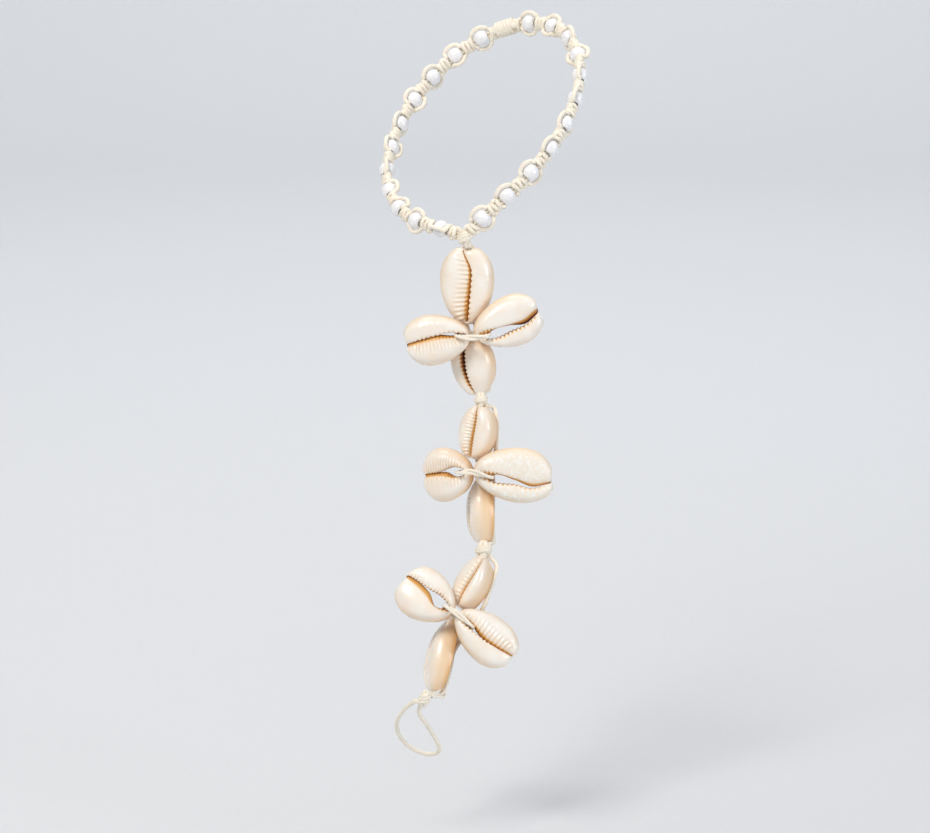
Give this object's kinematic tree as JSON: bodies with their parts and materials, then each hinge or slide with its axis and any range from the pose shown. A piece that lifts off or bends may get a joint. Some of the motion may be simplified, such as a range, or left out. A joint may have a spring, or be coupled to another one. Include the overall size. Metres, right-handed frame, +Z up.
{
  "type": "shell anklet with toe loop",
  "caption": "Knotted cord anklet with round beads, a chain of cut shell flowers down the instep and a cord loop for a toe, in its worn form.",
  "frame": {"origin": "middle of the ankle loop, on the leg's axis", "axes": "+Z up along the leg; the shells' open faces look to -Y, down the instep; +X to the viewer's right"},
  "size_m": [0.0708, 0.1122, 0.2419],
  "materials": {
    "waxed_cord": "waxed cotton cord, matt with a faint wax sheen",
    "white_bead": "polished white bead",
    "cowrie_shell": "natural cowrie shell, glossy, warm at the edges"
  },
  "bodies": {
    "root": {"ankle_band_right": "waxed_cord", "ankle_band_left": "waxed_cord", "centre_knot": "waxed_cord", "closing_knot": "waxed_cord", "bead_01": "white_bead", "bead_02": "white_bead", "bead_03": "white_bead", "bead_04": "white_bead", "bead_05": "white_bead", "bead_06": "white_bead", "bead_07": "white_bead", "bead_08": "white_bead", "bead_09": "white_bead", "bead_10": "white_bead", "bead_11": "white_bead", "bead_12": "white_bead", "bead_13": "white_bead", "bead_14": "white_bead", "bead_15": "white_bead", "bead_16": "white_bead", "bead_17": "white_bead", "bead_18": "white_bead", "bead_19": "white_bead", "bead_20": "white_bead", "bead_21": "white_bead", "bead_22": "white_bead", "flower_1_top_shell": "cowrie_shell", "flower_1_left_shell": "cowrie_shell", "flower_1_right_shell": "cowrie_shell", "flower_1_bottom_shell": "cowrie_shell", "flower_2_top_shell": "cowrie_shell", "flower_2_left_shell": "cowrie_shell", "flower_2_right_shell": "cowrie_shell", "flower_2_bottom_shell": "cowrie_shell", "flower_3_top_shell": "cowrie_shell", "flower_3_left_shell": "cowrie_shell", "flower_3_right_shell": "cowrie_shell", "flower_3_bottom_shell": "cowrie_shell", "flower_1_left_cord": "waxed_cord", "flower_1_right_cord": "waxed_cord", "flower_1_lacing": "waxed_cord", "flower_2_left_cord": "waxed_cord", "flower_2_right_cord": "waxed_cord", "flower_2_lacing": "waxed_cord", "flower_3_left_cord": "waxed_cord", "flower_3_right_cord": "waxed_cord", "flower_3_lacing": "waxed_cord", "link_knot_1": "waxed_cord", "link_knot_2": "waxed_cord", "toe_knot": "waxed_cord", "toe_loop": "waxed_cord"}
  },
  "joints": []
}
